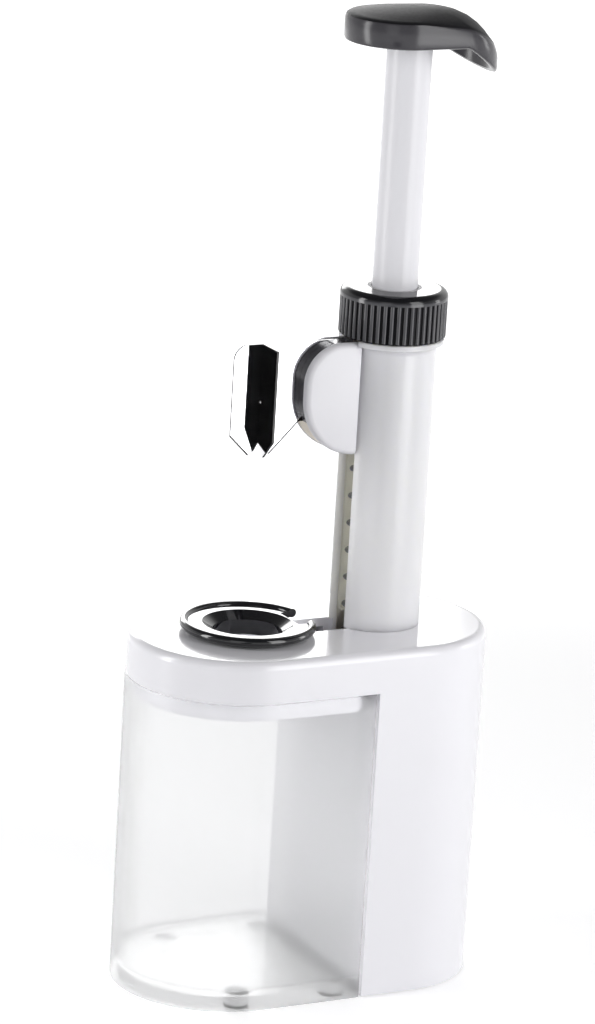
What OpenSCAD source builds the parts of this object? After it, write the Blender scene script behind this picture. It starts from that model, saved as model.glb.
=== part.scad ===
// Push-down plum pitter.
// A hand plunger drives a cross blade through a plum on a seat ring, and the stone drops
// through the lid into a see-through container. A spring in the column lifts the blade again.
// X runs along the base from the plum side to the column side, Z is up, the origin is the
// middle of the base on the table.

/* [Base] */
// Length of the base over its round ends
base_len = 125; // [115:1:140]
// Width of the base across its straight sides
base_w = 70; // [66:1:80]
// Height of the lid's top face above the table
lid_z = 119.5; // [110:0.5:135]
// Height of the lid's skirt, down to the seam with the container
skirt_h = 14; // [10:0.5:16]
// Thickness of the lid's plate
lid_t = 3; // [2.4:0.1:4]
// Rounding of the lid's top edge
lid_fillet = 2.7; // [1:0.1:2.8]
// Wall of the white housing
housing_wall = 2.2; // [1.6:0.1:3]
// Wall of the stone container
container_wall = 1.8; // [1.2:0.1:2.4]
// Depth of the lip that plugs into the container's mouth
lip_depth = 6; // [3:0.5:10]
// Height of the container's floor above the table, at its underside
floor_z = 5; // [3:0.5:9]
// Thickness of the container's floor
floor_t = 2; // [1.4:0.1:3]
// Height that the rubber feet hold the rims off the table
foot_drop = 0.6; // [0.4:0.1:1.2]
// Diameter of a rubber foot
foot_d = 8; // [5:0.5:10]

/* [Column] */
// Distance of the column's axis behind the middle of the base
column_x = 24.5; // [22:0.5:27]
// Outer diameter of the column
column_od = 30; // [29:0.5:33]
// Bore of the column
column_bore = 24.4; // [23.6:0.1:25]
// Height of the column from the lid to the top of its collar
column_h = 97.2; // [92:0.1:110]
// Diameter of the collar under the cap
collar_od = 34.6; // [33.6:0.2:36]
// Diameter of the column's foot below the lid
spigot_od = 27; // [26.6:0.1:28]

/* [Cap] */
// Diameter of the cap over its ribs
cap_od = 35.6; // [35.6:0.2:40]
// Height of the cap
cap_h = 16.1; // [14:0.1:20]
// Number of grip ribs on the cap
rib_count = 48; // [36:2:56]
// Rounding of the cap's top edge
cap_fillet = 2.6; // [1:0.1:3]

/* [Plunger] */
// Outer diameter of the plunger
plunger_od = 15; // [13:0.5:16]
// Wall of the plunger's tube
plunger_wall = 2; // [1.5:0.1:3]
// Length of plunger between the cap and the knob
plunger_out = 81.1; // [78:0.1:100]
// Travel of the plunger
stroke = 66; // [58:1:68]

/* [Knob] */
// Width of the knob
knob_w = 36; // [34:1:46]
// Reach of the knob from the plunger's axis towards the plum
knob_front = 22; // [20:0.5:26]
// Reach of the knob from the plunger's axis to the hook's tip
knob_rear = 30; // [28:0.5:34]
// Height of the knob's crown above its underside
knob_h = 11; // [10.6:0.1:14]
// Drop of the hook below the knob's underside
hook_drop = 11.4; // [7:0.2:12]
// Wall of the knob
knob_wall = 2.4; // [2:0.1:3]

/* [Arm and blades] */
// Distance from the column's axis to the blade's axis
blade_reach = 47; // [44:0.5:50]
// Distance from the column's axis to the arm's nose
arm_reach = 33.6; // [32:0.1:35]
// Height of the arm
arm_h = 37.8; // [35:0.2:40]
// Thickness of the arm over its two covers
arm_t = 13; // [12.4:0.1:14]
// Radius of the arm's upper corner
arm_r_top = 13; // [10:0.5:15]
// Radius of the arm's lower corner
arm_r_low = 20; // [16:0.5:21]
// Thickness of each cover of the arm
cheek_t = 2.4; // [2.2:0.1:2.8]
// Reach of each blade wing from the blade's axis
wing = 10.4; // [9:0.1:11]
// Height of the blades
blade_h = 37; // [35:0.1:40]
// Thickness of the blades
blade_t = 0.8; // [0.6:0.1:1.2]
// Distance of each tooth's tip from the blade's axis
tip_x = 3.9; // [3:0.1:5]
// Depth of the notch between the teeth
notch_h = 4.8; // [3:0.1:6]

/* [Seat ring] */
// Outer diameter of the seat ring
ring_od = 45; // [42:0.5:46]
// Hole of the seat ring
ring_hole = 23; // [22.6:0.1:25]
// Height of the seat ring above the lid
ring_h = 4; // [3.6:0.1:5]

/* [Spring] */
// Outer diameter of the return spring
spring_od = 22; // [20:0.5:22.5]
// Wire of the return spring
spring_wire = 1.5; // [1.2:0.1:1.8]
// Open turns of the return spring
spring_turns = 9; // [7:1:11]

/* [Hidden] */
$fn = 96;

// Clearances: sliding fits, still fits, and gaps between bodies that move apart
run_gap = 0.05;
fit_gap = 0.05;
body_gap = 0.3;
over = 1;

// Base levels and plan
lid_inset = 0.4;
seam_z = lid_z - skirt_h;
plate_z = lid_z - lid_t;
rim_step = 0.8;
foot_rim = container_wall + rim_step;
split_gap = 0.4;
socket_wall = 1.5;
socket_r = spigot_od / 2 + fit_gap + socket_wall;
part_x = column_x - socket_r;
split_x = part_x - split_gap;
corner_out = 2;
corner_in = 7;
lip_gap = 0.4;
lip_t = 1.6;
end_x = (base_len - base_w) / 2;
rear_end_x = end_x + lid_inset;
mouth_gap = 0.2;
foot_gap = 1.8;
front_foot_in = 5.5;
rear_foot_in = 7;
front_foot_x = -end_x - front_foot_in;
rear_foot_x = split_x - rear_foot_in;
foot_y = base_w / 2 - foot_rim - foot_d / 2 - foot_gap;

// Cover under the rear section
cover_t = 2.5;
cover_gap = 0.2;
boss_r = 4;
boss_h = 30;
boss_sink = 3.4;
base_screw_r = 1.5;
screw_head_r = 2.6;
screw_head_t = 1.6;
room_edge = lid_inset + housing_wall;
boss_x = base_len / 2 - housing_wall - boss_sink;
boss_y = base_w / 2 - room_edge - boss_sink;
cover_screws = [[boss_x, 0], [column_x, boss_y], [column_x, -boss_y]];
pad_t = 1.6;
pad_d = 8;
pad_back = 13;
pad_side = 10;
pad_front = 6;
pad_x = column_x - pad_front;
pad_y = boss_y - pad_side;
pads = [[boss_x - pad_back, 0], [pad_x, pad_y], [pad_x, -pad_y]];

// Column and cap levels
collar_z = lid_z + column_h;
cap_gap = 0.2;
cap_z = collar_z + cap_gap;
cap_top_z = cap_z + cap_h;
cap_top_t = 3;
cap_roof_z = cap_top_z - cap_top_t;
neck_gap = 0.1;
neck_top_z = cap_roof_z - neck_gap;
neck_od = column_od + 0.4;
collar_t = 1.6;
collar_fillet = (collar_od - column_od) / 2;
notch_z = collar_t + collar_fillet + 0.3;
rib_r = 0.75;
rib_edge = 0.5;
rib_inset = 0.15;
cap_body_r = cap_od / 2 - rib_r - rib_inset;
cap_rim_h = cap_fillet + 0.5;
bush_t = 3;
bush_seat_z = neck_top_z - bush_t;
bush_r = column_bore / 2 + 0.8;
buffer_t = 2;
buffer_r = column_bore / 2 - 0.5;
wiper_h = 2.6;
wiper_r = plunger_od / 2 + 1.4;

// Arm levels, all at rest
plum_x = column_x - blade_reach;
nose_x = column_x - arm_reach;
arm_top_z = cap_z - 0.8;
arm_low_z = arm_top_z - arm_h;
core_t = arm_t - 2 * cheek_t;
core_inset = 0.4;
slot_gap = 1.2;
slot_w = core_t + 2 * slot_gap;
sweep_w = arm_t + 2 * body_gap;
arm_clear = 0.6;
slot_z = arm_low_z - stroke - arm_clear;
blade_top_z = arm_top_z + 0.3;
tip_z = blade_top_z - blade_h;
lap_h = 17.5;
lap_z = tip_z + lap_h;
wing_corner = 5;
tang_len = 12;
tang_x = nose_x + tang_len;
tang_z = tip_z + (nose_x - plum_x - tip_x) + 0.8;
lap_dot_r = 0.9;
blade_slit = blade_t + 2 * fit_gap;
carriage_r = column_bore / 2 - run_gap;
holder_gap = 1.45;
holder_x = column_x - carriage_r - holder_gap;
cheek_round = 2;
cheek_x = column_x - sqrt(pow(column_od / 2, 2) - pow(slot_w / 2, 2)) - body_gap;

// Carriage and plunger
carriage_z = arm_low_z + 1.2;
rest_gap = 0.2;
carriage_top_z = bush_seat_z - buffer_t - rest_gap;
socket_h = 22;
socket_z = carriage_z + socket_h;
pin_h = 12;
pin_z = socket_z + pin_h;
pin_r = 1.5;
knob_z = cap_top_z + plunger_out;
tube_in = 4;
tube_top_z = knob_z + tube_in;
tube_end_t = 3;
insert_r = plunger_od / 2 + 2.5;
insert_h = tube_in + 2.5;
knob_screw_r = 1.4;
screw_end_gap = 0.4;

// Spring
wire_gap = 0.7;
coil_r = (spring_od - spring_wire) / 2;
shut_pitch = spring_wire + wire_gap;
spring_room = (spring_turns + 2) * shut_pitch;
seat_z = carriage_z - stroke - spring_room;
seat_t = 6;
seat_guide_h = 5;
seat_guide_r = coil_r - spring_wire / 2 - 0.8;
column_end_z = seat_z - seat_t;
socket_floor_t = 3;
column_screw_y = 7;
column_screw_r = 1.5;
column_screw_h = socket_floor_t + 4.5;

// Seat ring
ring_plug_r = ring_hole / 2 + 3;
ring_plug_h = lid_t + 1.5;
ring_bead = 1.5;
ring_foot_in = 4;
ring_dip = 1;
ring_cone_w = 3.5;
ring_cone_h = 2.5;

// Screws through the arm, as X and Z, and pins through the blade's tang
arm_screw_r = 1.3;
arm_head_r = 2.4;
arm_head_t = 1.2;
screw_in_top = 4;
screw_drop = 8.5;
screw_in_low = 7.5;
screw_rise = 6;
arm_screw_at = [
    [holder_x - screw_in_top, arm_top_z - screw_drop],
    [holder_x - screw_in_low, arm_low_z + screw_rise]
];
blade_pin_r = 1.2;
pin_in_low = 5;
pin_in_top = 6;
pin_drop = 7;
blade_pin_at = [
    [nose_x + pin_in_low, tang_z + pin_in_low],
    [nose_x + pin_in_top, blade_top_z - pin_drop]
];

// Plan shapes

module housing_plan(inset) {
    r = base_w / 2 - inset;
    translate([-end_x, -r]) square([rear_end_x + end_x, 2 * r]);
    for (x = [-end_x, rear_end_x]) translate([x, 0]) circle(r);
}

// Front part of the base's plan, ended square at back_x with rounded corners
module front_plan(inset, back_x, corner) {
    r = base_w / 2 - inset;
    intersection() {
        translate([-end_x, 0]) circle(r);
        translate([-base_len, -base_w]) square([base_len + back_x - corner, 2 * base_w]);
    }
    translate([-end_x, -r]) square([back_x - corner + end_x, 2 * r]);
    translate([-end_x, corner - r]) square([back_x + end_x, 2 * (r - corner)]);
    for (s = [-1, 1]) translate([back_x - corner, s * (r - corner)]) circle(corner);
}

// Rear part of the base's plan, behind front_x
module rear_plan(inset, front_x) {
    intersection() {
        housing_plan(inset);
        translate([front_x, -base_w]) square([base_len, 2 * base_w]);
    }
}

// Half section of a plate with a rounded top edge
module round_edge(r, h, fillet) {
    square([r, h - fillet]);
    square([r - fillet, h]);
    translate([r - fillet, h - fillet]) circle(fillet);
}

// Side view of the arm, drawn as X and Z and ended square at back_x
module arm_side(inset, back_x) {
    left = nose_x + inset;
    top = arm_top_z - inset;
    low = arm_low_z + inset;
    r_top = arm_r_top - inset;
    r_low = arm_r_low - inset;
    intersection() {
        union() {
            translate([left + r_top, top - r_top]) circle(r_top);
            translate([left + r_low, low + r_low]) circle(r_low);
            translate([left, low + r_low]) square([arm_reach, top - r_top - low - r_low]);
            translate([left + r_top, top - r_top - over]) square([arm_reach, r_top + over]);
            translate([left + r_low, low]) square([arm_reach, r_low + over]);
        }
        translate([left, low]) square([back_x - left, top - low]);
    }
}

// Plates standing along X, and across it
module plate_y(y0, y1) { translate([0, y1, 0]) rotate([90, 0, 0]) linear_extrude(y1 - y0) children(); }
module plate_x(x0, x1) { translate([x0, 0, 0]) rotate([90, 0, 90]) linear_extrude(x1 - x0) children(); }

// Space that the arm sweeps at the bottom of its travel, with clearance
module arm_sweep() {
    low_x = nose_x + arm_r_low;
    translate([low_x, 0, arm_low_z + arm_r_low - stroke]) rotate([90, 0, 0])
        cylinder(r = arm_r_low + arm_clear, h = sweep_w, center = true);
    translate([low_x, -sweep_w / 2, slot_z])
        cube([cheek_x + arm_clear - low_x, sweep_w, lid_z - slot_z + over]);
    translate([low_x, -slot_w / 2, slot_z]) cube([column_x - low_x, slot_w, lid_z - slot_z + over]);
}

module at_column() { translate([column_x, 0, 0]) children(); }
module at_plum() { translate([plum_x, 0, 0]) children(); }

// Container

module stone_container() {
    color([0.93, 0.95, 0.97, 0.45]) difference() {
        translate([0, 0, foot_drop]) linear_extrude(seam_z - mouth_gap - foot_drop)
            front_plan(0, split_x, corner_out);
        translate([0, 0, floor_z + floor_t]) linear_extrude(lid_z)
            front_plan(container_wall, split_x - container_wall, corner_in);
        translate([0, 0, -over]) linear_extrude(floor_z + over)
            front_plan(foot_rim, split_x - foot_rim, corner_in);
    }
}

module container_feet() {
    color("dimgray") for (x = [front_foot_x, rear_foot_x], s = [-1, 1])
        translate([x, s * foot_y, 0]) cylinder(d = foot_d, h = floor_z);
}

// Housing

module lid_slab() {
    r = base_w / 2 - lid_inset;
    for (x = [-end_x, rear_end_x]) translate([x, 0, 0]) rotate_extrude() intersection() {
        round_edge(r, skirt_h, lid_fillet);
        square([r, skirt_h]);
    }
    plate_x(-end_x, rear_end_x) for (s = [0, 1]) mirror([s, 0]) round_edge(r, skirt_h, lid_fillet);
}

module lip() {
    gap = container_wall + lip_gap;
    low = seam_z - lip_depth;
    translate([0, 0, low]) linear_extrude(plate_z - low + over / 2) difference() {
        front_plan(gap, split_x - gap, corner_in);
        front_plan(gap + lip_t, split_x - gap - lip_t, corner_in - lip_t);
    }
}

module column_socket() {
    at_column() translate([0, 0, column_end_z - socket_floor_t])
        cylinder(r = socket_r, h = plate_z + over / 2 - column_end_z + socket_floor_t);
}

module cover_bosses() {
    for (p = cover_screws) translate([p[0], p[1], foot_drop + cover_t])
        cylinder(r = boss_r, h = boss_h);
}

module housing_shell() {
    color("white") difference() {
        union() {
            difference() {
                union() {
                    translate([0, 0, seam_z]) lid_slab();
                    translate([0, 0, foot_drop]) linear_extrude(seam_z - foot_drop + over)
                        rear_plan(lid_inset, part_x);
                }
                translate([0, 0, seam_z - over]) linear_extrude(plate_z - seam_z + over)
                    front_plan(room_edge, part_x, corner_out);
                linear_extrude(plate_z) rear_plan(room_edge, part_x + housing_wall);
            }
            lip();
            intersection() {
                cover_bosses();
                linear_extrude(lid_z) rear_plan(lid_inset + housing_wall / 2, part_x);
            }
            column_socket();
        }
        arm_sweep();
        at_plum() translate([0, 0, plate_z - over])
            cylinder(r = ring_plug_r + fit_gap, h = lid_t + 2 * over);
        at_column() translate([0, 0, column_end_z])
            cylinder(r = spigot_od / 2 + fit_gap, h = lid_z - column_end_z + over);
        at_column() for (s = [-1, 1])
            translate([0, s * column_screw_y, column_end_z - socket_floor_t - over])
                cylinder(r = column_screw_r + fit_gap, h = socket_floor_t + 2 * over, $fn = 32);
        for (p = cover_screws) translate([p[0], p[1], 0])
            cylinder(r = base_screw_r + fit_gap, h = foot_drop + cover_t + boss_h - over, $fn = 32);
    }
}

module rear_base_cover() {
    color("whitesmoke") difference() {
        translate([0, 0, foot_drop]) linear_extrude(cover_t)
            rear_plan(room_edge + cover_gap, part_x + housing_wall + cover_gap);
        for (p = cover_screws) translate([p[0], p[1], 0]) {
            cylinder(r = base_screw_r + fit_gap, h = lid_z, $fn = 32);
            cylinder(r = screw_head_r + fit_gap, h = foot_drop + screw_head_t, $fn = 32);
        }
        for (p = pads) translate([p[0], p[1], 0]) cylinder(d = pad_d, h = pad_t);
    }
}

module base_screws() {
    color("silver") for (p = cover_screws) translate([p[0], p[1], foot_drop]) {
        cylinder(r = screw_head_r, h = screw_head_t, $fn = 32);
        cylinder(r = base_screw_r, h = cover_t + boss_h / 2, $fn = 32);
    }
}

module rear_feet() {
    color("dimgray") for (p = pads) translate([p[0], p[1], 0]) cylinder(d = pad_d, h = pad_t);
}

// Column

module collar() {
    translate([0, 0, collar_z - collar_t]) cylinder(d = collar_od, h = collar_t);
    translate([0, 0, collar_z - collar_t - collar_fillet]) rotate_extrude() difference() {
        square([collar_od / 2, collar_fillet]);
        translate([collar_od / 2, 0]) circle(collar_fillet);
    }
}

module column_tube() {
    color("white") at_column() difference() {
        union() {
            translate([0, 0, column_end_z]) cylinder(d = spigot_od, h = lid_z - column_end_z);
            translate([0, 0, lid_z]) cylinder(d = column_od, h = column_h);
            collar();
            translate([0, 0, collar_z - over]) cylinder(d = neck_od, h = neck_top_z - collar_z + over);
        }
        translate([0, 0, column_end_z - over]) cylinder(d = column_bore, h = cap_top_z);
        translate([0, 0, bush_seat_z]) cylinder(r = bush_r + fit_gap, h = bush_t + over);
        translate([-column_od, -slot_w / 2, slot_z]) cube([column_od, slot_w, cap_top_z - slot_z]);
        translate([cheek_x + arm_clear - column_x - collar_od, -sweep_w / 2, collar_z - notch_z])
            cube([collar_od, sweep_w, notch_z]);
    }
}

module spring_seat() {
    color("ivory") at_column() difference() {
        union() {
            translate([0, 0, column_end_z]) cylinder(r = column_bore / 2 - fit_gap, h = seat_t);
            translate([0, 0, seat_z]) cylinder(r = seat_guide_r, h = seat_guide_h);
        }
        for (s = [-1, 1]) translate([0, s * column_screw_y, column_end_z - over])
            cylinder(r = column_screw_r + fit_gap, h = seat_t + over - screw_end_gap, $fn = 32);
    }
}

module column_screws() {
    color("silver") at_column() for (s = [-1, 1])
        translate([0, s * column_screw_y, column_end_z - socket_floor_t]) {
            translate([0, 0, -screw_head_t]) cylinder(r = screw_head_r, h = screw_head_t, $fn = 32);
            cylinder(r = column_screw_r, h = column_screw_h, $fn = 32);
        }
}

// Return spring: one helical tube, with one close turn at each end

coil_rings = 8;
coil_sides = 6;
open_h = carriage_z - seat_z - spring_wire - 2 * shut_pitch - 2 * body_gap;
coil_pitch = open_h / spring_turns;
coil_n = (spring_turns + 2) * coil_rings;
function coil_turn(i) = i / coil_rings;
function coil_z(u) = seat_z + body_gap + spring_wire / 2
    + min(u, 1) * shut_pitch
    + max(0, min(u - 1, spring_turns)) * coil_pitch
    + max(0, u - 1 - spring_turns) * shut_pitch;
function coil_at(i) = let (u = coil_turn(i), a = 360 * u) [coil_r * cos(a), coil_r * sin(a), coil_z(u)];
function coil_dir(i) = let (a = 360 * coil_turn(i)) [-sin(a), cos(a), 0];
coil_points = [for (i = [0 : coil_n]) coil_at(i)];
coil_path = concat(
    [coil_points[0] - spring_wire * coil_dir(0)],
    coil_points,
    [coil_points[coil_n] + spring_wire * coil_dir(coil_n)]
);
function path_dir(i) = coil_dir(max(0, min(coil_n, i - 1)));
function coil_ring(i) = let (d = path_dir(i), out = [d[1], -d[0], 0])
    [for (k = [0 : coil_sides - 1]) let (a = 360 * k / coil_sides)
        coil_path[i] + spring_wire / 2 * (cos(a) * out + sin(a) * [0, 0, 1])];

// Points of rings joined into one closed tube of triangles
function tube_faces(rings, sides) = concat(
    [for (k = [1 : sides - 2]) [0, k, k + 1]],
    [for (i = [0 : rings - 2], k = [0 : sides - 1]) let (n = (k + 1) % sides, a = i * sides, b = a + sides)
        each [[a + k, b + k, b + n], [a + k, b + n, a + n]]],
    [for (k = [1 : sides - 2]) let (e = (rings - 1) * sides) [e, e + k + 1, e + k]]
);

module return_spring() {
    rings = len(coil_path);
    gaps = [for (i = [0 : rings - 1], j = [0 : rings - 1]) if (j - i >= coil_rings / 2)
        norm(coil_path[i] - coil_path[j]) - spring_wire];
    echo(least_spring_gap = min(gaps));
    color("silver") at_column() polyhedron(
        points = [for (i = [0 : rings - 1]) each coil_ring(i)],
        faces = tube_faces(rings, coil_sides), convexity = 10);
}

// Seat ring, notched where the arm comes down

module seat_ring() {
    r = ring_od / 2;
    hole = ring_hole / 2;
    bead_r = r - ring_bead;
    bead_z = ring_h - ring_bead;
    flat_z = ring_h - ring_dip;
    color([0.06, 0.06, 0.07]) difference() {
        at_plum() translate([0, 0, lid_z]) rotate_extrude() {
            polygon([
                [hole, -ring_plug_h], [ring_plug_r, -ring_plug_h], [ring_plug_r, 0],
                [r - ring_foot_in, 0], [bead_r, bead_z - ring_bead / 2], [bead_r, flat_z],
                [hole + ring_cone_w, flat_z], [hole, flat_z - ring_cone_h]
            ]);
            translate([bead_r, bead_z]) circle(ring_bead);
        }
        arm_sweep();
        translate([0, 0, ring_h]) arm_sweep();
    }
}

// Cap and what it holds

module cap_nut() {
    color([0.2, 0.2, 0.22]) at_column() difference() {
        union() {
            translate([0, 0, cap_z]) rotate_extrude() {
                square([cap_body_r, cap_h - cap_rim_h]);
                intersection() {
                    round_edge(cap_od / 2, cap_h, cap_fillet);
                    translate([0, cap_h - cap_rim_h]) square([cap_od, cap_rim_h]);
                }
            }
            translate([0, 0, cap_z + rib_edge]) linear_extrude(cap_h - cap_rim_h - rib_edge)
                for (i = [0 : rib_count - 1]) rotate(360 * i / rib_count)
                    translate([cap_body_r, 0]) circle(rib_r, $fn = 24);
        }
        translate([0, 0, cap_z - over]) cylinder(d = neck_od + 2 * body_gap, h = cap_roof_z - cap_z + over);
        cylinder(r = plunger_od / 2 + body_gap, h = cap_top_z + over);
        translate([0, 0, cap_top_z - wiper_h]) cylinder(r = wiper_r + fit_gap, h = wiper_h + over);
    }
}

module wiper_ring() {
    color([0.1, 0.1, 0.1]) at_column() translate([0, 0, cap_top_z - wiper_h]) difference() {
        cylinder(r = wiper_r, h = wiper_h);
        translate([0, 0, -over]) cylinder(r = plunger_od / 2 + body_gap, h = wiper_h + 2 * over);
    }
}

module plunger_bush() {
    color("gray") at_column() difference() {
        translate([0, 0, bush_seat_z]) cylinder(r = bush_r, h = bush_t);
        cylinder(r = plunger_od / 2 + run_gap, h = cap_top_z);
    }
}

module top_buffer() {
    color([0.12, 0.12, 0.12]) at_column() translate([0, 0, bush_seat_z - buffer_t]) difference() {
        cylinder(r = buffer_r, h = buffer_t);
        translate([0, 0, -over]) cylinder(r = plunger_od / 2 + body_gap, h = buffer_t + 2 * over);
    }
}

// Plunger and knob

module plunger_tube() {
    bore_r = plunger_od / 2 - plunger_wall;
    color("white") at_column() difference() {
        translate([0, 0, socket_z]) cylinder(d = plunger_od, h = tube_top_z - socket_z);
        translate([0, 0, socket_z - over])
            cylinder(r = bore_r, h = tube_top_z - tube_end_t - socket_z + over);
        cylinder(r = knob_screw_r + fit_gap, h = tube_top_z + over, $fn = 32);
        translate([0, 0, pin_z]) rotate([90, 0, 0])
            cylinder(r = pin_r + fit_gap, h = 2 * plunger_od, center = true, $fn = 32);
    }
}

// The knob's crown falls from its middle to an edge that is level in front and bends down to the
// hook's tip. Its underside is flat and turns down too. The roof inside is flat over the insert.
crown_drop = 2.5;
bend_x = 2;
hook_band = 5;
bend_drop = knob_h - crown_drop + hook_drop - hook_band;
hook_x = 12.5;
hook_slope = hook_drop / (knob_rear - hook_x);
knob_roof = insert_h + fit_gap;
roof_t = knob_wall + 0.4;
knob_steps = 72;
knob_mid = (knob_rear - knob_front) / 2;
knob_r = knob_w / 2;
function knob_plan(a, inset) = let (c = cos(a) >= 0 ? knob_rear - knob_r : knob_r - knob_front)
    [c + (knob_r - inset) * cos(a), (knob_r - inset) * sin(a)];
function knob_bend(p) = bend_drop * pow(max(0, p[0] - bend_x) / (knob_rear - bend_x), 2);
function knob_top(p, share) = knob_h - (crown_drop + knob_bend(p)) * share * share;
function knob_under(p) = -max(0, p[0] - hook_x) * hook_slope;
function knob_inside(p, share) = min(knob_roof, knob_top(p, share) - roof_t);
function knob_level(kind, p, share) = kind == "top" ? knob_top(p, share)
    : kind == "under" ? knob_under(p)
    : knob_inside(p, share);

// One ring of the knob: a share of the plan about its middle, at a height given by kind
function knob_ring(share, inset, kind, shift) = [for (k = [0 : knob_steps - 1])
    let (q = knob_plan(360 * k / knob_steps, inset),
        p = [knob_mid + share * (q[0] - knob_mid), share * q[1]])
    [p[0], p[1], knob_level(kind, p, share * (1 - inset / knob_r)) + shift]];

module plunger_knob() {
    rings = [
        for (share = [0.02, 0.16, 0.3, 0.44, 0.58, 0.7, 0.8, 0.88]) knob_ring(share, 0, "top", 0),
        knob_ring(1, 1.3, "top", 0), knob_ring(1, 0.4, "top", -0.3), knob_ring(1, 0, "top", -1.2),
        knob_ring(1, 0, "under", 1), knob_ring(1, 0.3, "under", 0.3), knob_ring(1, 1, "under", 0),
        knob_ring(1, knob_wall, "under", 0.2), knob_ring(1, knob_wall, "inside", -1.5),
        knob_ring(0.8, knob_wall, "inside", 0), knob_ring(0.4, knob_wall, "inside", 0),
        knob_ring(0.02, knob_wall, "inside", 0)
    ];
    color([0.27, 0.26, 0.29]) at_column() translate([0, 0, knob_z]) polyhedron(
        points = [for (r = rings) each r], faces = tube_faces(len(rings), knob_steps), convexity = 6);
}

module knob_insert() {
    color([0.25, 0.25, 0.27]) at_column() translate([0, 0, knob_z]) difference() {
        cylinder(r = insert_r, h = insert_h);
        translate([0, 0, -over]) cylinder(r = plunger_od / 2 + fit_gap, h = tube_in + over);
        cylinder(r = knob_screw_r + fit_gap, h = knob_h, $fn = 32);
    }
}

module knob_screw() {
    color("silver") at_column() translate([0, 0, tube_top_z - tube_end_t]) {
        translate([0, 0, -screw_head_t]) cylinder(r = screw_head_r, h = screw_head_t, $fn = 32);
        cylinder(r = knob_screw_r, h = insert_h - tube_in + tube_end_t - screw_end_gap, $fn = 32);
    }
}

// Carriage and arm

module carriage() {
    color("ivory") difference() {
        union() {
            at_column() translate([0, 0, carriage_z])
                cylinder(r = carriage_r, h = carriage_top_z - carriage_z);
            plate_y(-core_t / 2, core_t / 2) difference() {
                arm_side(core_inset, column_x - 2);
                translate([nose_x - over, tang_z]) square([holder_x - nose_x + over, arm_h]);
            }
        }
        at_column() translate([0, 0, socket_z]) cylinder(r = plunger_od / 2 + fit_gap, h = cap_top_z);
        at_column() translate([0, 0, pin_z]) rotate([90, 0, 0])
            cylinder(r = pin_r + fit_gap, h = 3 * plunger_od, center = true, $fn = 32);
        arm_screw_holes();
    }
}

module carriage_pin() {
    color("silver") at_column() translate([0, 0, pin_z]) rotate([90, 0, 0])
        cylinder(r = pin_r, h = 2 * carriage_r - 2, center = true, $fn = 32);
}

module through_arm(at, r) {
    for (p = at) translate([p[0], 0, p[1]]) rotate([90, 0, 0])
        cylinder(r = r, h = core_t + 2 * over, center = true, $fn = 32);
}

module arm_screw_holes() { through_arm(arm_screw_at, arm_screw_r + fit_gap); }

module blade_holder() {
    color([0.24, 0.24, 0.26]) difference() {
        plate_y(-core_t / 2, core_t / 2) intersection() {
            arm_side(core_inset, holder_x);
            translate([nose_x, tang_z]) square([holder_x - nose_x, arm_h]);
        }
        translate([nose_x - over, -blade_slit / 2, tang_z - over])
            cube([tang_x + fit_gap - nose_x + over, blade_slit, arm_h]);
        arm_screw_holes();
        through_arm(blade_pin_at, blade_pin_r + fit_gap);
    }
}

module blade_pins() {
    color("silver") for (p = blade_pin_at) translate([p[0], 0, p[1]]) rotate([90, 0, 0])
        cylinder(r = blade_pin_r, h = core_t, center = true, $fn = 32);
}

// Blade in line with the arm: two teeth, a rounded front corner and a tang that runs into the arm
module main_blade() {
    corner_z = blade_top_z - wing_corner;
    color("lightsteelblue") difference() {
        plate_y(-blade_t / 2, blade_t / 2) translate([plum_x, 0]) difference() {
            polygon([
                [-tip_x, tip_z], [-wing, tip_z + wing - tip_x], [-wing, blade_top_z],
                [tang_x - plum_x, blade_top_z], [tang_x - plum_x, tang_z],
                [tip_x + tang_z - tip_z, tang_z], [tip_x, tip_z], [0, tip_z + notch_h]
            ]);
            difference() {
                translate([-wing - over, corner_z]) square([wing_corner + over, wing_corner + over]);
                translate([wing_corner - wing, corner_z]) circle(wing_corner);
            }
            translate([-blade_slit / 2, tip_z - over]) square([blade_slit, lap_z - tip_z + over]);
            translate([0, lap_z]) circle(lap_dot_r);
        }
        through_arm(blade_pin_at, blade_pin_r + fit_gap);
    }
}

// Blade across it, with a lap slot from the top
module cross_blade() {
    color("lightsteelblue") plate_x(plum_x - blade_t / 2, plum_x + blade_t / 2) difference() {
        polygon([
            [-tip_x, tip_z], [-wing, tip_z + wing - tip_x], [-wing, blade_top_z],
            [wing, blade_top_z], [wing, tip_z + wing - tip_x], [tip_x, tip_z], [0, tip_z + notch_h]
        ]);
        translate([-blade_slit / 2, lap_z]) square([blade_slit, blade_h]);
        translate([0, lap_z]) circle(lap_dot_r);
    }
}

// Cover of the arm with a rounded outer edge, on the side y > 0
module arm_cheek() {
    y0 = core_t / 2;
    hull() for (a = [0, 30, 60, 90]) {
        inset = cheek_round * (1 - cos(a));
        plate_y(y0, y0 + cheek_t - cheek_round * (1 - sin(a))) arm_side(inset, cheek_x, $fn = 64);
    }
}

module arm_cheek_near() {
    color("white") difference() {
        mirror([0, 1, 0]) arm_cheek();
        arm_screw_holes();
    }
}

module arm_cheek_far() {
    color("white") difference() {
        arm_cheek();
        for (p = arm_screw_at) translate([p[0], 0, p[1]]) rotate([-90, 0, 0]) {
            cylinder(r = arm_screw_r + fit_gap, h = arm_t, $fn = 32);
            translate([0, 0, arm_t / 2 - arm_head_t])
                cylinder(r = arm_head_r + fit_gap, h = arm_t, $fn = 32);
        }
    }
}

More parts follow.
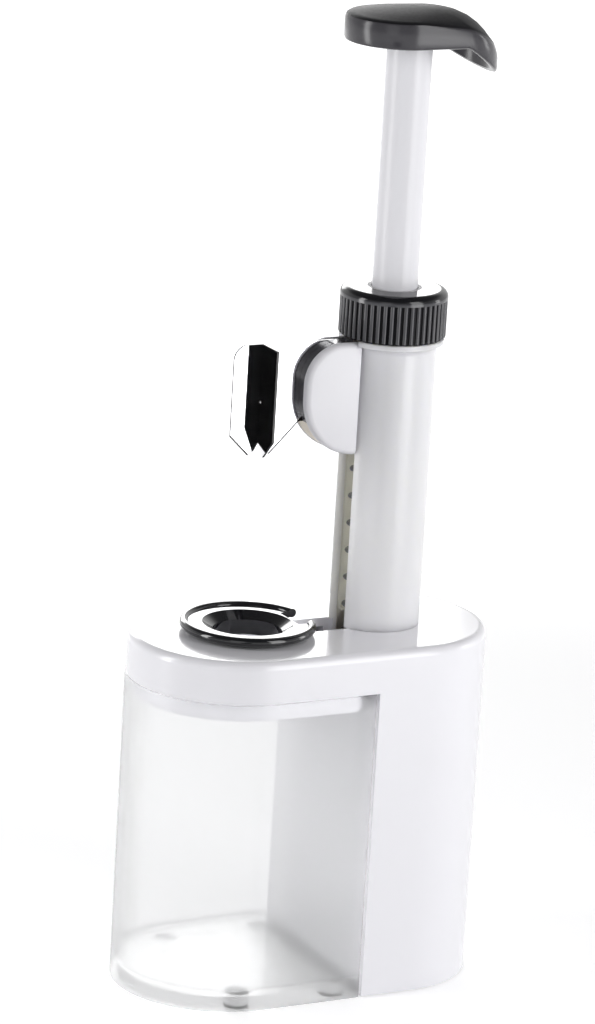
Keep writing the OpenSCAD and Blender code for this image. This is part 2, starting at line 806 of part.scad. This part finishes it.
module arm_screws() {
    color("silver") for (p = arm_screw_at) translate([p[0], 0, p[1]]) rotate([-90, 0, 0]) {
        translate([0, 0, -core_t / 2 - over / 2])
            cylinder(r = arm_screw_r, h = (arm_t + core_t) / 2, $fn = 32);
        translate([0, 0, arm_t / 2 - arm_head_t])
            cylinder(r = arm_head_r, h = arm_head_t - fit_gap, $fn = 32);
    }
}

stone_container();
container_feet();
housing_shell();
rear_base_cover();
base_screws();
rear_feet();
column_tube();
spring_seat();
column_screws();
return_spring();
seat_ring();
cap_nut();
wiper_ring();
plunger_bush();
top_buffer();
plunger_tube();
plunger_knob();
knob_insert();
knob_screw();
carriage();
carriage_pin();
blade_holder();
blade_pins();
main_blade();
cross_blade();
arm_cheek_near();
arm_cheek_far();
arm_screws();
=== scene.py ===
"""Looks of the push-down plum pitter: materials, the return spring's wire, studio light and camera."""

import math

import bpy
from mathutils import Matrix, Vector


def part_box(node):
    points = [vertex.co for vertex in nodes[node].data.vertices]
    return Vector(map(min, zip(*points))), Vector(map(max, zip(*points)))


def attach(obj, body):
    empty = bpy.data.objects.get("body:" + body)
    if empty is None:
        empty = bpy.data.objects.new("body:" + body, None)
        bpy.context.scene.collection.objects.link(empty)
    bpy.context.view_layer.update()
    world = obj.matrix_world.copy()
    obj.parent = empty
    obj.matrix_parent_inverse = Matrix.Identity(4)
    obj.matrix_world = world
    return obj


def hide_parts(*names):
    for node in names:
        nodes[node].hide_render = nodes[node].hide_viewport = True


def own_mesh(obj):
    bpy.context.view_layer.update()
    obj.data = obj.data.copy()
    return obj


MM = 0.001

# Sizes taken over from the solids, in millimetres
COLUMN_X = 24.5
COLUMN_BORE_R = 12.2
SLOT_HALF = 5.3
CAP_GAP_R = 16.9
CAP_RIB_R = 17.5
FLOOR_TOP = 7.0
PLUM_X = -22.5
BLADE_TIP_X = 3.9
BLADE_TIP_Z = 179.4
SPRING_R = 10.25
SPRING_WIRE = 1.5
SPRING_TURNS = 9
SPRING_SHUT_PITCH = 2.2

# Bands that the materials draw, in millimetres
BORE_MARGIN = 0.15
SLOT_MARGIN = 0.02
FLOOR_FADE = 1.5
GROUND_EDGE = 0.75
SOLE_DARK_TOP = 0.8
SOLE_PALE_FROM = 1.4

# Noise: its scales, and the range that most of its values fall in
CLOUD_SCALE = 35.0
FLOW_SCALE = 14.0
GRAIN_SCALE = 900.0
POLISH_SCALE = 700.0
RUBBER_SCALE = 1800.0
NOISE_LOW = 0.3
NOISE_HIGH = 0.7

# Depth of fine relief, in metres
FINE_RELIEF = 0.0001
RUBBER_RELIEF = 0.0002

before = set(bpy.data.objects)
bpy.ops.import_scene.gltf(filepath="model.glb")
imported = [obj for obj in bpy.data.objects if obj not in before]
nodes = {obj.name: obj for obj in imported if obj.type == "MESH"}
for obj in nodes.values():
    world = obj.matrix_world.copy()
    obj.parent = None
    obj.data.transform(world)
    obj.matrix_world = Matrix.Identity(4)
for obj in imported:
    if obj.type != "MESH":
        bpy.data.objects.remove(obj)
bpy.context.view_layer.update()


# Node helpers


def parts_of(mat):
    """A material's node tree and its Principled shader."""
    return mat.node_tree, mat.node_tree.nodes["Principled BSDF"]


def new_material(name):
    """A material with one Principled shader, its node tree and that shader."""
    mat = bpy.data.materials.new(name)
    mat.use_nodes = True
    return mat, *parts_of(mat)


def add(tree, kind, **settings):
    """A new node, with its properties set by name."""
    node = tree.nodes.new(kind)
    for key, value in settings.items():
        setattr(node, key, value)
    return node


def settle(node, values):
    """Sets a node's plain values by the names of its sockets."""
    for socket, value in values.items():
        node.inputs[socket].default_value = value


def source_of(shader, socket):
    """What feeds a shader's socket."""
    return shader.inputs[socket].links[0].from_socket


def math_node(tree, operation, first, second=None, clamp=False):
    """A Math node on two links or numbers; returns its output."""
    node = add(tree, "ShaderNodeMath", operation=operation, use_clamp=clamp)
    for socket, value in zip(node.inputs, (first, second)):
        if value is None:
            continue
        if isinstance(value, (int, float)):
            socket.default_value = value
        else:
            tree.links.new(value, socket)
    return node.outputs[0]


def ramp(tree, value, low, high, out_low, out_high, smooth=True):
    """Maps a link from one range to another; returns the result."""
    node = add(tree, "ShaderNodeMapRange")
    if smooth:
        node.interpolation_type = "SMOOTHSTEP"
    tree.links.new(value, node.inputs["Value"])
    settle(node, {"From Min": low, "From Max": high, "To Min": out_low, "To Max": out_high})
    return node.outputs["Result"]


def position(tree):
    """A point's place in the object's own frame, in metres."""
    return add(tree, "ShaderNodeTexCoord").outputs["Object"]


def axes_of(tree, vector):
    """A vector's parts along X, Y and Z."""
    node = add(tree, "ShaderNodeSeparateXYZ")
    tree.links.new(vector, node.inputs[0])
    return node.outputs


def facing_axes(tree):
    """The way a surface faces, along X, Y and Z of the object's own frame."""
    return axes_of(tree, add(tree, "ShaderNodeTexCoord").outputs["Normal"])


def column_reach(tree, axes):
    """A point's distance from the column's axis, along X and straight, in metres."""
    across = math_node(tree, "SUBTRACT", axes["X"], COLUMN_X * MM)
    x2 = math_node(tree, "MULTIPLY", across, across)
    y2 = math_node(tree, "MULTIPLY", axes["Y"], axes["Y"])
    return across, math_node(tree, "SQRT", math_node(tree, "ADD", x2, y2))


def noise(tree, scale, detail=3.0, stretch=None):
    """Noise in the object's own frame; returns its value."""
    point = position(tree)
    if stretch is not None:
        mapping = add(tree, "ShaderNodeMapping")
        mapping.inputs["Scale"].default_value = stretch
        tree.links.new(point, mapping.inputs["Vector"])
        point = mapping.outputs["Vector"]
    node = add(tree, "ShaderNodeTexNoise")
    settle(node, {"Scale": scale, "Detail": detail})
    tree.links.new(point, node.inputs["Vector"])
    return node.outputs["Fac"]


def mix_colour(tree, factor, first, second):
    """Mixes two colours, given as triples or links; returns the result."""
    node = add(tree, "ShaderNodeMix", data_type="RGBA")
    tree.links.new(factor, node.inputs["Factor"])
    for socket, value in ((node.inputs["A"], first), (node.inputs["B"], second)):
        if isinstance(value, tuple):
            socket.default_value = (*value, 1.0)
        else:
            tree.links.new(value, socket)
    return node.outputs["Result"]


def scaled(colour, factor):
    """A colour made lighter or darker by a factor."""
    return tuple(c * factor for c in colour)


def vary_tone(tree, shader, value, colour, low, high):
    """Lets a noise value swing a shader's colour between two strengths."""
    tone = mix_colour(tree, value, scaled(colour, low), scaled(colour, high))
    tree.links.new(tone, shader.inputs["Base Color"])


def vary_gloss(tree, shader, value, roughness, swing):
    """Lets a noise value swing a shader's roughness by a share to either side."""
    gloss = ramp(tree, value, NOISE_LOW, NOISE_HIGH, roughness * (1 - swing), roughness * (1 + swing))
    tree.links.new(gloss, shader.inputs["Roughness"])


def add_bump(tree, shader, height, strength, distance):
    """Fine relief on a shader's surface."""
    node = add(tree, "ShaderNodeBump")
    settle(node, {"Strength": strength, "Distance": distance})
    tree.links.new(height, node.inputs["Height"])
    tree.links.new(node.outputs["Normal"], shader.inputs["Normal"])


# Materials


def moulded(name, colour, roughness, coat=0.0, coat_roughness=0.05, grain=0.02, spread=0.04, specular=0.5):
    """Moulded plastic: slight cloudiness and, where grain is given, a mottled gloss and a fine texture."""
    mat, tree, shader = new_material(name)
    vary_tone(tree, shader, noise(tree, CLOUD_SCALE), colour, 1 - spread, 1 + spread)
    settle(shader, {
        "Roughness": roughness,
        "Specular IOR Level": specular,
        "Coat Weight": coat,
        "Coat Roughness": coat_roughness,
    })
    if grain > 0:
        fine = noise(tree, GRAIN_SCALE)
        vary_gloss(tree, shader, fine, roughness, swing=0.1)
        add_bump(tree, shader, fine, grain, FINE_RELIEF)
    return mat


def column_plastic(name, colour, slot_shade_tint, bore_shade_tint):
    """White plastic of the column, tinted warm on the faces inside its slot and bore: painted shade of the
    recess.
    """
    mat = moulded(name, colour, roughness=0.3, coat=0.5, coat_roughness=0.22, spread=0.01, grain=0)
    tree, shader = parts_of(mat)
    outer = source_of(shader, "Base Color")
    axes = axes_of(tree, position(tree))
    across, reach = column_reach(tree, axes)
    in_bore = math_node(tree, "LESS_THAN", reach, (COLUMN_BORE_R + BORE_MARGIN) * MM)
    side = math_node(tree, "ABSOLUTE", axes["Y"])
    in_slot = math_node(tree, "LESS_THAN", side, (SLOT_HALF + SLOT_MARGIN) * MM)
    plum_side = math_node(tree, "LESS_THAN", across, 0.0)
    slot_wall = math_node(tree, "MULTIPLY", in_slot, plum_side)
    settle(shader, {
        "Subsurface Weight": 0.8,
        "Subsurface Radius": (1.0, 1.0, 0.9),
        "Subsurface Scale": 0.009,
    })
    # Faces inside the slot and the bore take a warm tint: painted shade of the recess.
    tone = mix_colour(tree, slot_wall, outer, slot_shade_tint)
    tree.links.new(mix_colour(tree, in_bore, tone, bore_shade_tint), shader.inputs["Base Color"])
    return mat


# How opaque the container's wall is face-on and edge-on, and what share of that stops light
WALL_FACE_ON = 0.27
WALL_EDGE_ON = 0.67
WALL_TO_LIGHT = 0.15

# Where its wall starts to count as edge-on, how dense its floor is, and how dark the painted shade makes
# its dense places
EDGE_ON_FROM = 0.5
FLOOR_DENSITY = 0.75
DENSE_SHADE_TONE = 0.5


def frosted(name, colour):
    """See-through container plastic: milky, glossy outside, denser where the wall is seen edge-on and at
    its floor, and painted darker there as shade.

    It spreads light forwards, so it throws only a faint shade on what it holds.
    """
    mat, tree, shader = new_material(name)
    vary_tone(tree, shader, noise(tree, FLOW_SCALE, stretch=(1.0, 1.0, 0.35)), colour, 0.99, 1.01)
    face_tone = source_of(shader, "Base Color")
    rim = add(tree, "ShaderNodeLayerWeight")
    rim.inputs["Blend"].default_value = 0.5
    edge_on = ramp(tree, rim.outputs["Facing"], EDGE_ON_FROM, 1.0, 0.0, 1.0)
    height = axes_of(tree, position(tree))["Z"]
    at_floor = ramp(tree, height, FLOOR_TOP * MM, (FLOOR_TOP + FLOOR_FADE) * MM, FLOOR_DENSITY, 0.0)
    density_and_shade = math_node(tree, "MAXIMUM", edge_on, at_floor)
    # Edge-on places and the floor are painted darker: painted shade. Their extra opacity below is the
    # plastic's density.
    tone = mix_colour(tree, density_and_shade, face_tone, scaled(colour, DENSE_SHADE_TONE))
    tree.links.new(tone, shader.inputs["Base Color"])
    path = add(tree, "ShaderNodeLightPath")
    lighting = math_node(tree, "MAXIMUM", path.outputs["Is Shadow Ray"], path.outputs["Is Diffuse Ray"])
    thick = ramp(tree, density_and_shade, 0.0, 1.0, WALL_FACE_ON, WALL_EDGE_ON, smooth=False)
    thin = ramp(tree, lighting, 0.0, 1.0, 1.0, WALL_TO_LIGHT, smooth=False)
    tree.links.new(math_node(tree, "MULTIPLY", thick, thin), shader.inputs["Alpha"])
    settle(shader, {
        "Transmission Weight": 0.75,
        "IOR": 1.2,
        "Roughness": 0.47,
        "Coat Weight": 0.6,
        "Coat Roughness": 0.08,
    })
    return mat


def rubber(name, colour, roughness):
    """Moulded rubber with a fine matt grain."""
    mat, tree, shader = new_material(name)
    grain = noise(tree, RUBBER_SCALE, detail=5.0)
    vary_tone(tree, shader, grain, colour, 0.8, 1.2)
    vary_gloss(tree, shader, grain, roughness, swing=0.15)
    add_bump(tree, shader, grain, 0.15, RUBBER_RELIEF)
    return mat


def steel(name, colour, roughness, stretch, grain=0.04):
    """Bright steel with fine polishing lines along one direction."""
    mat, tree, shader = new_material(name)
    lines = noise(tree, POLISH_SCALE, stretch=stretch)
    vary_tone(tree, shader, lines, colour, 0.94, 1.04)
    vary_gloss(tree, shader, lines, roughness, swing=0.3)
    shader.inputs["Metallic"].default_value = 1.0
    add_bump(tree, shader, lines, grain, FINE_RELIEF)
    return mat


# The knob's crown: where it starts and is complete, by the way a face looks up, and how matt it is; the
# crown is painted darker as shade
CROWN_FROM = 0.3
CROWN_FULL = 0.7
CROWN_MATT = 0.3
BAND_SPECULAR = 0.4
CROWN_SPECULAR = 0.18


def knob_plastic(name, band, crown):
    """Dark plastic, glossy round the sides; on the crown that the hand presses it is finely matt and
    painted darker as shade.
    """
    mat = moulded(name, band, roughness=0.2, spread=0.06, grain=0.01, specular=BAND_SPECULAR)
    tree, shader = parts_of(mat)
    side_tone = source_of(shader, "Base Color")
    side_gloss = source_of(shader, "Roughness")
    on_top = ramp(tree, facing_axes(tree)["Z"], CROWN_FROM, CROWN_FULL, 0.0, 1.0)
    # Faces that look up take the darker crown colour: painted shade.
    tree.links.new(mix_colour(tree, on_top, side_tone, crown), shader.inputs["Base Color"])
    matt = math_node(tree, "MULTIPLY", on_top, CROWN_MATT)
    tree.links.new(math_node(tree, "ADD", side_gloss, matt), shader.inputs["Roughness"])
    shine = ramp(tree, on_top, 0.0, 1.0, BAND_SPECULAR, CROWN_SPECULAR)
    tree.links.new(shine, shader.inputs["Specular IOR Level"])
    return mat


# The cap's rim: where it starts and is complete, by the way a face looks up; the rim is painted darker as
# shade
RIM_FROM = 0.1
RIM_FULL = 0.35
RIB_SPECULAR = 0.5
GAP_SPECULAR = 0.05


def cap_plastic(name, rib, gap_shade):
    """Dark glossy plastic of the screw cap: its rim and the gaps between its ribs are painted darker as
    shade, and the gaps shine less.
    """
    mat = moulded(name, rib, roughness=0.14, spread=0.06, grain=0.01, specular=RIB_SPECULAR)
    tree, shader = parts_of(mat)
    rib_tone = source_of(shader, "Base Color")
    _, reach = column_reach(tree, axes_of(tree, position(tree)))
    deep = ramp(tree, reach, CAP_GAP_R * MM, CAP_RIB_R * MM, 1.0, 0.0)
    on_rim = ramp(tree, facing_axes(tree)["Z"], RIM_FROM, RIM_FULL, 0.0, 1.0)
    # The rim and the gaps between the ribs take the darker colour: painted shade.
    painted_shade_mask = math_node(tree, "MAXIMUM", deep, on_rim)
    tree.links.new(mix_colour(tree, painted_shade_mask, rib_tone, gap_shade), shader.inputs["Base Color"])
    # The gaps' weaker shine is painted shade as well.
    shade = math_node(tree, "SUBTRACT", deep, on_rim, clamp=True)
    shine = ramp(tree, shade, 0.0, 1.0, RIB_SPECULAR, GAP_SPECULAR)
    tree.links.new(shine, shader.inputs["Specular IOR Level"])
    return mat


def blade(name, colour, edge_reflection_tone, flat_axis):
    """Polished blade steel whose stamped edges and ground edge are painted near-black as dark reflection;
    its flats face along one axis.
    """
    mat = steel(name, colour, roughness=0.05, stretch=(0.2, 0.2, 1.0), grain=0.01)
    tree, shader = parts_of(mat)
    polished = source_of(shader, "Base Color")
    along = math_node(tree, "ABSOLUTE", facing_axes(tree)[flat_axis])
    stamped = math_node(tree, "LESS_THAN", along, 0.5)
    axes = axes_of(tree, position(tree))
    offset = math_node(tree, "SUBTRACT", axes["X"], PLUM_X * MM)
    rise = math_node(tree, "SUBTRACT", axes["Z"], math_node(tree, "ABSOLUTE", offset))
    ground = math_node(tree, "LESS_THAN", rise, (BLADE_TIP_Z - BLADE_TIP_X + GROUND_EDGE) * MM)
    edge = math_node(tree, "MAXIMUM", stamped, ground)
    # Edge faces and the ground band by the tips are painted near-black: painted dark reflection.
    tree.links.new(mix_colour(tree, edge, polished, edge_reflection_tone), shader.inputs["Base Color"])
    return mat


def foot_rubber(name, body, sole):
    """Pale silicone foot whose sole, its lowest millimetre or so, is dark."""
    mat = rubber(name, body, roughness=0.6)
    tree, shader = parts_of(mat)
    pale_body = source_of(shader, "Base Color")
    height = axes_of(tree, position(tree))["Z"]
    dark_sole = ramp(tree, height, SOLE_DARK_TOP * MM, SOLE_PALE_FROM * MM, 1.0, 0.0)
    tree.links.new(mix_colour(tree, dark_sole, pale_body, sole), shader.inputs["Base Color"])
    return mat


BASE_WHITE = (0.93, 0.925, 0.965)
TUBE_WHITE = (0.81, 0.805, 0.84)
COLUMN_WHITE = (0.93, 0.925, 0.96)
# Warm tints of the faces inside the column's slot and bore: painted shade of the recess.
SLOT_SHADE_TINT = (0.98, 0.97, 0.94)
BORE_SHADE_TINT = (0.99, 0.93, 0.82)
CLEAR_TINT = (0.96, 0.965, 0.97)
KNOB_BAND = (0.050, 0.048, 0.055)
# The knob crown's darker colour: painted shade.
KNOB_CROWN_SHADE = (0.012, 0.0115, 0.014)
HOLDER_GREY = (0.058, 0.055, 0.064)
CAP_RIB_GREY = (0.046, 0.046, 0.053)
# Darker colour of the cap's rim and rib gaps: painted shade.
CAP_GAP_SHADE = (0.009, 0.009, 0.011)
CARRIAGE_IVORY = (0.90, 0.82, 0.69)
BUSH_GREY = (0.3, 0.3, 0.3)
RING_BLACK = (0.008, 0.008, 0.010)
BUFFER_BLACK = (0.05, 0.05, 0.05)
WIPER_GREY = (0.62, 0.62, 0.63)
FOOT_PALE = (0.92, 0.92, 0.93)
SOLE_GREY = (0.10, 0.10, 0.10)
BLADE_GREY = (0.78, 0.78, 0.80)
# Near-black of the blades' edges: painted dark reflection.
BLADE_EDGE_DARK_REFLECTION = (0.03, 0.03, 0.03)
SCREW_GREY = (0.6, 0.6, 0.62)
SPRING_GREY = (0.2, 0.2, 0.22)
EVEN = (1.0, 1.0, 1.0)

white = moulded("white_plastic", BASE_WHITE, roughness=0.25, coat=0.4, spread=0.01, grain=0)
tube_white = moulded(
    "tube_plastic", TUBE_WHITE, roughness=0.4, coat=0.5, coat_roughness=0.35, spread=0.01, grain=0)
column_white = column_plastic("column_plastic", COLUMN_WHITE, SLOT_SHADE_TINT, BORE_SHADE_TINT)
clear = frosted("container_plastic", CLEAR_TINT)
knob_dark = knob_plastic("knob_plastic", KNOB_BAND, KNOB_CROWN_SHADE)
holder_dark = moulded("holder_plastic", HOLDER_GREY, roughness=0.24, spread=0.06, grain=0.01)
cap_dark = cap_plastic("cap_plastic", CAP_RIB_GREY, CAP_GAP_SHADE)
ivory = moulded("ivory_plastic", CARRIAGE_IVORY, roughness=0.42, spread=0.03)
bush_grey = moulded("bush_plastic", BUSH_GREY, roughness=0.45, spread=0.05)
ring_black = moulded("ring_black", RING_BLACK, roughness=0.1, coat=0.5, coat_roughness=0.03, spread=0.1)
black_rubber = rubber("buffer_rubber", BUFFER_BLACK, roughness=0.7)
wiper_rubber = rubber("wiper_rubber", WIPER_GREY, roughness=0.5)
foot_silicone = foot_rubber("foot_silicone", FOOT_PALE, SOLE_GREY)
main_steel = blade("main_blade_steel", BLADE_GREY, BLADE_EDGE_DARK_REFLECTION, "Y")
cross_steel = blade("cross_blade_steel", BLADE_GREY, BLADE_EDGE_DARK_REFLECTION, "X")
screw_steel = steel("screw_steel", SCREW_GREY, roughness=0.25, stretch=EVEN)
spring_steel = steel("spring_steel", SPRING_GREY, roughness=0.35, stretch=EVEN)

NODE_LOOKS = {
    white: ["housing_shell", "rear_base_cover"],
    tube_white: ["plunger_tube", "arm_cheek_near", "arm_cheek_far"],
    column_white: ["column_tube"],
    clear: ["stone_container"],
    knob_dark: ["plunger_knob"],
    holder_dark: ["knob_insert", "blade_holder"],
    cap_dark: ["cap_nut"],
    ivory: ["carriage", "spring_seat"],
    bush_grey: ["plunger_bush"],
    ring_black: ["seat_ring"],
    black_rubber: ["rear_feet", "top_buffer"],
    wiper_rubber: ["wiper_ring"],
    foot_silicone: ["container_feet"],
    main_steel: ["main_blade"],
    cross_steel: ["cross_blade"],
    screw_steel: ["base_screws", "column_screws", "knob_screw", "carriage_pin", "blade_pins", "arm_screws"],
}
for look, names in NODE_LOOKS.items():
    for name in names:
        nodes[name].data.materials.clear()
        nodes[name].data.materials.append(look)


# Soft shading over the moulded curves that the solids carry as small flats

WELD_DISTANCE = 1e-6
SHARP_ANGLE = math.radians(32)


def shade_by_angle(name, limit):
    """A modifier that joins a piece's flats and keeps only the edges sharper than a limit."""
    group = bpy.data.node_groups.new(name, "GeometryNodeTree")
    group.interface.new_socket("Geometry", in_out="INPUT", socket_type="NodeSocketGeometry")
    group.interface.new_socket("Geometry", in_out="OUTPUT", socket_type="NodeSocketGeometry")
    start = add(group, "NodeGroupInput")
    end = add(group, "NodeGroupOutput")
    weld = add(group, "GeometryNodeMergeByDistance")
    weld.inputs["Distance"].default_value = WELD_DISTANCE
    bare = add(group, "GeometryNodeRemoveAttribute")
    bare.inputs["Name"].default_value = "custom_normal"
    smooth = add(group, "GeometryNodeSetShadeSmooth", domain="FACE")
    sharp = add(group, "GeometryNodeSetShadeSmooth", domain="EDGE")
    sharp.inputs["Shade Smooth"].default_value = False
    bend = add(group, "GeometryNodeInputMeshEdgeAngle")
    over = math_node(group, "GREATER_THAN", bend.outputs["Unsigned Angle"], limit)
    group.links.new(over, sharp.inputs["Selection"])
    chain = [start, weld, bare, smooth, sharp, end]
    for first, second in zip(chain, chain[1:]):
        group.links.new(first.outputs[0], second.inputs[0])
    return group


soft_curves = shade_by_angle("soft_curves", SHARP_ANGLE)
for name in ("plunger_knob", "arm_cheek_near", "arm_cheek_far"):
    nodes[name].modifiers.new("soft_curves", "NODES").node_group = soft_curves


# Return spring: round wire, one close turn at each end

WIRE_SIDES = 12
WIRE_STEPS_PER_TURN = 40


def spring_wire_mesh(foot, head):
    """A helical tube between two heights, in millimetres."""
    wire_r = SPRING_WIRE / 2
    open_pitch = (head - foot - SPRING_WIRE - 2 * SPRING_SHUT_PITCH) / SPRING_TURNS
    steps = (SPRING_TURNS + 2) * WIRE_STEPS_PER_TURN
    verts = []
    for i in range(steps + 1):
        turns = i / WIRE_STEPS_PER_TURN
        rise = min(turns, 1) * SPRING_SHUT_PITCH
        rise += max(0, min(turns - 1, SPRING_TURNS)) * open_pitch
        rise += max(0, turns - 1 - SPRING_TURNS) * SPRING_SHUT_PITCH
        angle = 2 * math.pi * turns
        centre = Vector((COLUMN_X, 0, foot + wire_r + rise))
        out = Vector((math.cos(angle), math.sin(angle), 0))
        for k in range(WIRE_SIDES):
            around = 2 * math.pi * k / WIRE_SIDES
            wire = wire_r * (math.cos(around) * out + math.sin(around) * Vector((0, 0, 1)))
            verts.append((centre + SPRING_R * out + wire) * MM)
    faces = []
    for i in range(steps):
        this_ring = i * WIRE_SIDES
        next_ring = this_ring + WIRE_SIDES
        for k in range(WIRE_SIDES):
            n = (k + 1) % WIRE_SIDES
            faces.append((this_ring + k, this_ring + n, next_ring + n, next_ring + k))
    faces.append(tuple(reversed(range(WIRE_SIDES))))
    faces.append(tuple(steps * WIRE_SIDES + k for k in range(WIRE_SIDES)))
    mesh = bpy.data.meshes.new("return_spring_wire")
    mesh.from_pydata(verts, [], faces)
    for face in mesh.polygons:
        face.use_smooth = len(face.vertices) == 4
    return mesh


spring_low, spring_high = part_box("return_spring")
spring_mesh = spring_wire_mesh(spring_low.z / MM, spring_high.z / MM)
spring = bpy.data.objects.new("return_spring_wire", spring_mesh)
bpy.context.scene.collection.objects.link(spring)
spring.data.materials.append(spring_steel)
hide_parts("return_spring")
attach(spring, "housing")
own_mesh(spring)


# Stage: floor and a dark card in front of the blade, in metres

FLOOR_SIZE = 12
FLOOR_NEAR = 0.35
FLOOR_FAR = 0.9
FLOOR_GLOW_NEAR = 0.46
FLOOR_GREY = (0.82, 0.82, 0.83, 1)
PURE_WHITE = (1, 1, 1, 1)

CARD_BLACK = (0.004, 0.004, 0.004, 1)
CARD_WIDTH = 0.15
CARD_HEIGHT = 0.12
CARD_APART = 0.5
CARD_WAY = Vector((-0.459, -0.848, -0.266))
BLADE_MIDDLE = Vector((PLUM_X, -4.0, 197.0)) * MM


def stage_plane(name, centre, size_x, size_y, rotation, mat):
    """A flat stage piece."""
    mesh = bpy.data.meshes.new(name)
    x = size_x / 2
    y = size_y / 2
    mesh.from_pydata([(-x, -y, 0), (x, -y, 0), (x, y, 0), (-x, y, 0)], [], [(0, 1, 2, 3)])
    obj = bpy.data.objects.new(name, mesh)
    obj.location = centre
    obj.rotation_euler = rotation
    obj.data.materials.append(mat)
    bpy.context.scene.collection.objects.link(obj)
    return obj


def seen_directly(tree):
    """1 for camera, glossy and transmission rays."""
    path = add(tree, "ShaderNodeLightPath")
    seen = math_node(tree, "MAXIMUM", path.outputs["Is Camera Ray"], path.outputs["Is Glossy Ray"])
    return math_node(tree, "MAXIMUM", seen, path.outputs["Is Transmission Ray"])


floor_mat, floor_tree, floor_shader = new_material("floor")
settle(floor_shader, {"Base Color": FLOOR_GREY, "Roughness": 0.6, "Emission Color": PURE_WHITE})
apart = add(floor_tree, "ShaderNodeVectorMath", operation="LENGTH")
floor_tree.links.new(position(floor_tree), apart.inputs[0])
glow = ramp(floor_tree, apart.outputs["Value"], FLOOR_NEAR, FLOOR_FAR, FLOOR_GLOW_NEAR, 1.0)
lift = math_node(floor_tree, "MULTIPLY", seen_directly(floor_tree), glow)
floor_tree.links.new(lift, floor_shader.inputs["Emission Strength"])
stage_plane("floor", (0, 0, 0), FLOOR_SIZE, FLOOR_SIZE, (0, 0, 0), floor_mat)

card_mat, _, card_shader = new_material("dark_card")
settle(card_shader, {"Base Color": CARD_BLACK, "Roughness": 1.0, "Specular IOR Level": 0.0})
card_place = BLADE_MIDDLE + CARD_APART * CARD_WAY
card_turn = CARD_WAY.to_track_quat("-Z", "Y").to_euler()
card = stage_plane("dark_card", card_place, CARD_WIDTH, CARD_HEIGHT, card_turn, card_mat)
card.visible_camera = False
card.visible_diffuse = False
card.visible_shadow = False
card.visible_transmission = False


# Lamps, in metres and watts


def softbox(name, place, target, width, height, watts):
    """A rectangular lamp that faces a point."""
    lamp = bpy.data.lights.new(name, "AREA")
    lamp.shape = "RECTANGLE"
    lamp.size = width
    lamp.size_y = height
    lamp.energy = watts
    obj = bpy.data.objects.new(name, lamp)
    obj.location = place
    obj.rotation_euler = (Vector(target) - Vector(place)).to_track_quat("-Z", "Y").to_euler()
    obj.visible_camera = False
    bpy.context.scene.collection.objects.link(obj)


softbox("left_box", (-0.61, 0.112, 0.3), (0, 0, 0.3), width=0.14, height=0.6, watts=1.8)
softbox("key_box", (0.272, -0.624, 0.4), (0, 0, 0.4), width=0.32, height=0.8, watts=3.0)
softbox("front_box", (-0.757, -0.8, 0.5), (0, 0, 0.3), width=0.5, height=0.6, watts=0.7)
softbox("back_box", (0.398, 1.54, 0.6), (0, 0, 0.16), width=1.0, height=0.5, watts=6.5)
softbox("right_box", (1.3, -0.3, 0.35), (0, 0, 0.2), width=0.3, height=0.6, watts=2.0)


# Camera

VIEW_AZIMUTH = math.radians(28.417)
VIEW_PITCH = math.radians(15.421)
VIEW_ROLL = math.radians(3.415)
VIEW_PLACE = Vector((-0.7978, -1.4625, 0.6175))
VIEW_LENS = 185.6
VIEW_FAR = 50

forward = Vector((
    math.sin(VIEW_AZIMUTH) * math.cos(VIEW_PITCH),
    math.cos(VIEW_AZIMUTH) * math.cos(VIEW_PITCH),
    -math.sin(VIEW_PITCH),
))
level_right = Vector((math.cos(VIEW_AZIMUTH), -math.sin(VIEW_AZIMUTH), 0))
level_up = level_right.cross(forward)
right = math.cos(VIEW_ROLL) * level_right + math.sin(VIEW_ROLL) * level_up
up = math.cos(VIEW_ROLL) * level_up - math.sin(VIEW_ROLL) * level_right
camera_data = bpy.data.cameras.new("camera")
camera_data.lens = VIEW_LENS
camera_data.clip_end = VIEW_FAR
camera = bpy.data.objects.new("camera", camera_data)
bpy.context.scene.collection.objects.link(camera)
turn = Matrix((right, up, -forward)).transposed().to_4x4()
camera.matrix_world = Matrix.Translation(VIEW_PLACE) @ turn
bpy.context.scene.camera = camera
bpy.context.scene.view_settings.view_transform = "Standard"


# World: dimmer on the front's side and overhead, white where it is seen directly

SKY_FRONT_AT = -0.5
SKY_BACK_AT = 0.8
SKY_FRONT_LEVEL = 0.41
SKY_LOW_UNTIL = 0.33
SKY_TOP_FROM = 0.65
SKY_TOP_LEVEL = 0.15

world = bpy.data.worlds.new("studio")
bpy.context.scene.world = world
world.use_nodes = True
sky = world.node_tree
background = sky.nodes["Background"]
way = axes_of(sky, add(sky, "ShaderNodeTexCoord").outputs["Generated"])
along_x = math_node(sky, "MULTIPLY", way["X"], math.sin(VIEW_AZIMUTH))
along_y = math_node(sky, "MULTIPLY", way["Y"], math.cos(VIEW_AZIMUTH))
behind = math_node(sky, "ADD", along_x, along_y)
side_level = ramp(sky, behind, SKY_FRONT_AT, SKY_BACK_AT, SKY_FRONT_LEVEL, 1.0)
top_level = ramp(sky, way["Z"], SKY_LOW_UNTIL, SKY_TOP_FROM, 1.0, SKY_TOP_LEVEL)
level = math_node(sky, "MULTIPLY", side_level, top_level)
sky_path = add(sky, "ShaderNodeLightPath")
sky_seen = math_node(
    sky, "MAXIMUM", sky_path.outputs["Is Camera Ray"], sky_path.outputs["Is Transmission Ray"])
sky.links.new(math_node(sky, "MAXIMUM", sky_seen, level), background.inputs["Strength"])
background.inputs["Color"].default_value = PURE_WHITE
